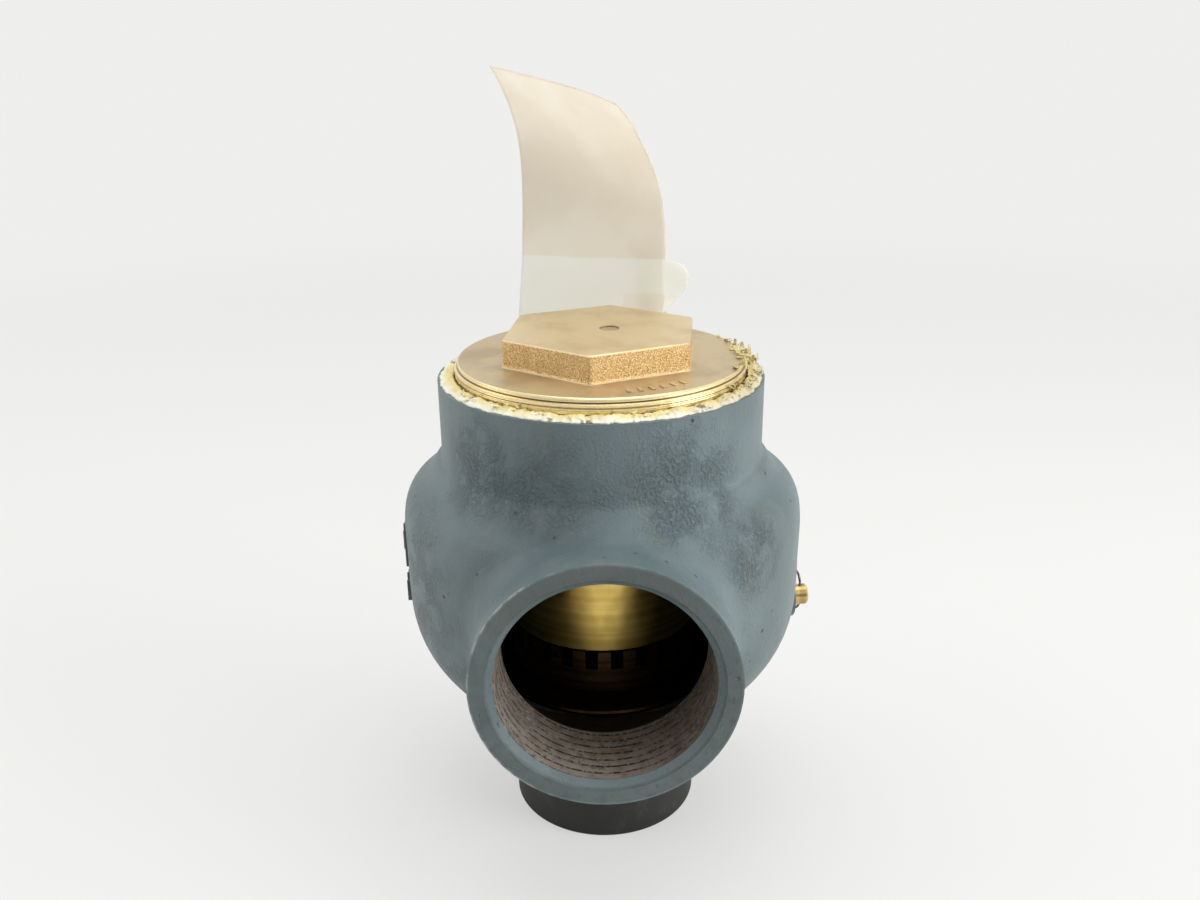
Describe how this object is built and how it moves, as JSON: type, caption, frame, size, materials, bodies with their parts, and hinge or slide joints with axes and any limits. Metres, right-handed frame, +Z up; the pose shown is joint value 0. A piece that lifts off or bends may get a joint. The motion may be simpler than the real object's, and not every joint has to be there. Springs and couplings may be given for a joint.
{
  "type": "pressure relief valve",
  "caption": "Spring-loaded pressure relief valve: cast angle body with a threaded side outlet, turned hexagon cap on top, spring-loaded disc inside, plastic cup on the inlet thread.",
  "frame": {"origin": "centre of the thread protector's flat bottom, on the valve's vertical axis", "axes": "+Z up the inlet axis towards the hexagon cap; the outlet faces -Y; +X is on the ring pin's side"},
  "size_m": [0.1494, 0.1519, 0.2675],
  "materials": {
    "painted_casting": "satin blue-grey paint over cast iron",
    "cap_bronze": "cast and turned bronze",
    "nozzle_bronze": "turned bronze",
    "guide_brass": "turned brass",
    "pin_brass": "turned brass",
    "steel": "machined stainless steel",
    "plated_steel": "zinc plated",
    "spring_steel": "dark oiled spring steel",
    "soft_metal": "dull crimped lead alloy",
    "gasket_fibre": "pressed fibre sheet",
    "compound": "cream sealing compound",
    "tag_paper": "coated tag paper",
    "protector_plastic": "matte black plastic"
  },
  "bodies": {
    "valve_body": {"valve_body": "painted_casting", "inlet_nozzle": "nozzle_bronze", "blowdown_ring": "nozzle_bronze", "ring_pin": "pin_brass", "ring_pin_washer": "pin_brass", "lock_wire": "spring_steel", "wire_seal": "soft_metal", "guide_sleeve": "guide_brass", "spring_bridge": "nozzle_bronze", "sealing_compound": "compound", "instruction_tag": "tag_paper"},
    "disc_group": {"disc_holder": "nozzle_bronze", "seat_disc": "steel", "disc_clip": "steel", "spindle": "steel", "spindle_pin": "steel", "lower_spring_washer": "plated_steel"},
    "upper_washer": {"upper_spring_washer": "plated_steel", "spring": "spring_steel"},
    "adjusting_screw": {"adjusting_screw": "nozzle_bronze"},
    "nut_washer": {"lock_nut_washer": "plated_steel"},
    "lock_nut": {"lock_nut": "plated_steel"},
    "cap_gasket": {"cap_gasket": "gasket_fibre"},
    "hex_cap": {"hex_cap": "cap_bronze"},
    "thread_protector": {"thread_protector": "protector_plastic"}
  },
  "joints": [
    {"name": "disc_lift", "type": "slide", "parent": "valve_body", "child": "disc_group", "axis": [0, 0, 1], "range_m": [0, 0.008], "stiffness_N_per_m": 9300, "springref_m": -0.0106, "deforming": ["spring"]},
    {"name": "adjusting_screw_travel", "type": "slide", "parent": "valve_body", "child": "upper_washer", "axis": [0, 0, 1], "range_m": [-0.004, 0.002]},
    {"name": "adjusting_screw_turn", "type": "hinge", "parent": "upper_washer", "child": "adjusting_screw", "pos_m": [0, 0, 0.15], "axis": [0, 0, 1], "range_deg": [-720, 360]},
    {"name": "lock_nut_travel", "type": "slide", "parent": "valve_body", "child": "nut_washer", "axis": [0, 0, 1], "range_m": [0, 0.002]},
    {"name": "lock_nut_turn", "type": "hinge", "parent": "nut_washer", "child": "lock_nut", "pos_m": [0, 0, 0.16], "axis": [0, 0, 1], "range_deg": [0, 360]},
    {"name": "cap_travel", "type": "slide", "parent": "valve_body", "child": "cap_gasket", "axis": [0, 0, 1], "range_m": [0, 0.0127]},
    {"name": "cap_turn", "type": "hinge", "parent": "cap_gasket", "child": "hex_cap", "pos_m": [0, 0, 0.17], "axis": [0, 0, 1], "range_deg": [0, 2160]},
    {"name": "protector_pull", "type": "slide", "parent": "valve_body", "child": "thread_protector", "axis": [0, 0, 1], "range_m": [-0.035, 0]}
  ],
  "couplings": [
    {"joint": "adjusting_screw_turn", "follows": "adjusting_screw_travel", "rad_per_m": 3141.6},
    {"joint": "lock_nut_turn", "follows": "lock_nut_travel", "rad_per_m": 3141.6},
    {"joint": "cap_turn", "follows": "cap_travel", "rad_per_m": 2968.4}
  ]
}
